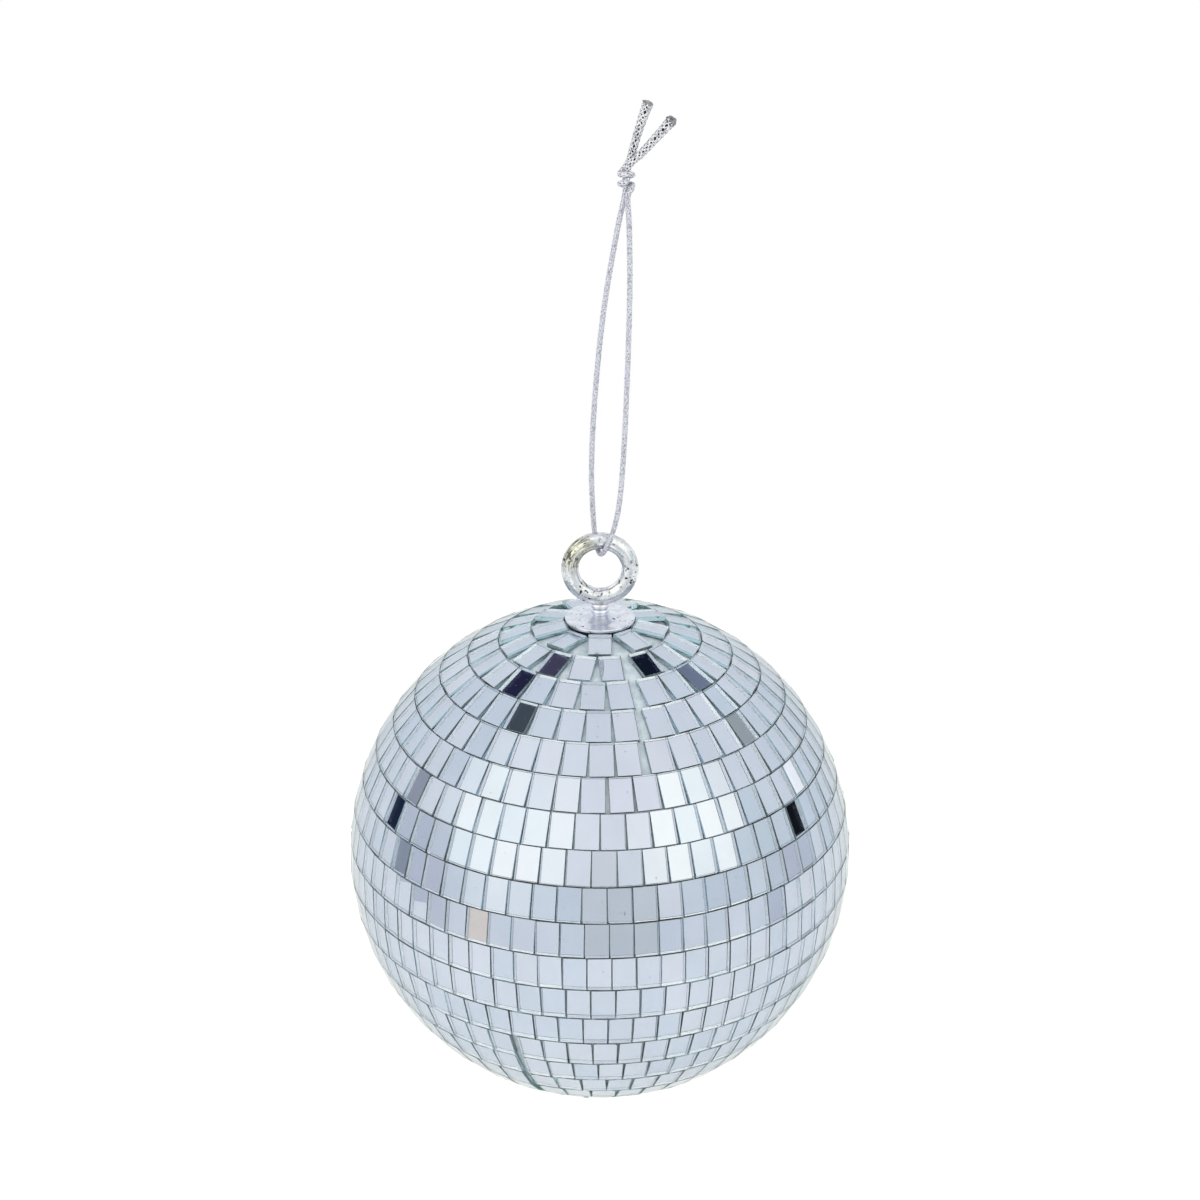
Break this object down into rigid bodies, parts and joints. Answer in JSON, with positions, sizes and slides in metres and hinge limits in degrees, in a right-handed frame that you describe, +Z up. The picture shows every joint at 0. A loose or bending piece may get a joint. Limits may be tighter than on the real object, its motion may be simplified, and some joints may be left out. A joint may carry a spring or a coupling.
{
  "type": "mirror ball",
  "caption": "Hanging ball covered in strips of flat mirror tiles, with a chromed ring on a round cap and a knotted braided cord loop.",
  "frame": {"origin": "hook point: the inside of the cord loop's top, just under the knot, where a hook carries the ball", "axes": "+Z up along the hanging direction; the ring stands in the XZ plane and -Y is the front"},
  "size_m": [0.1502, 0.1502, 0.3017],
  "materials": {
    "mirror": "silvered glass, 1.4 mm thick, with ground green edges",
    "chrome": "bright vacuum plating with small pits",
    "cord": "braided metallic film yarn",
    "core": "moulded, matt",
    "adhesive": "cured adhesive coat",
    "zinc": "zinc plated"
  },
  "bodies": {
    "cord": {"cord_loop": "cord", "cord_knot": "cord", "cord_end_left": "cord", "cord_end_right": "cord"},
    "hanging_ring": {"ring_eye": "chrome", "stem_washer": "zinc", "stem_nut": "zinc"},
    "ball": {"adhesive_lower": "adhesive", "adhesive_upper": "adhesive", "bottom_tiles": "mirror", "cap_lock_nut": "zinc", "cap_washer": "zinc", "core_lower": "core", "core_upper": "core", "tile_row_01": "mirror", "tile_row_02": "mirror", "tile_row_03": "mirror", "tile_row_04": "mirror", "tile_row_05": "mirror", "tile_row_06": "mirror", "tile_row_07": "mirror", "tile_row_08": "mirror", "tile_row_09": "mirror", "tile_row_10": "mirror", "tile_row_11": "mirror", "tile_row_12": "mirror", "tile_row_13": "mirror", "tile_row_14": "mirror", "tile_row_15": "mirror", "tile_row_16": "mirror", "tile_row_17": "mirror", "tile_row_18": "mirror", "tile_row_19": "mirror", "tile_row_20": "mirror", "tile_row_21": "mirror", "top_cap": "chrome"}
  },
  "joints": [
    {"name": "ring_swing", "type": "hinge", "parent": "cord", "child": "hanging_ring", "pos_m": [-0.0071, 0, -0.0998], "axis": [1, 0, 0], "range_deg": [-90, 90]},
    {"name": "ball_spin", "type": "hinge", "parent": "hanging_ring", "child": "ball", "pos_m": [-0.0071, 0, -0.12067], "axis": [0, 0, 1], "continuous": true}
  ]
}
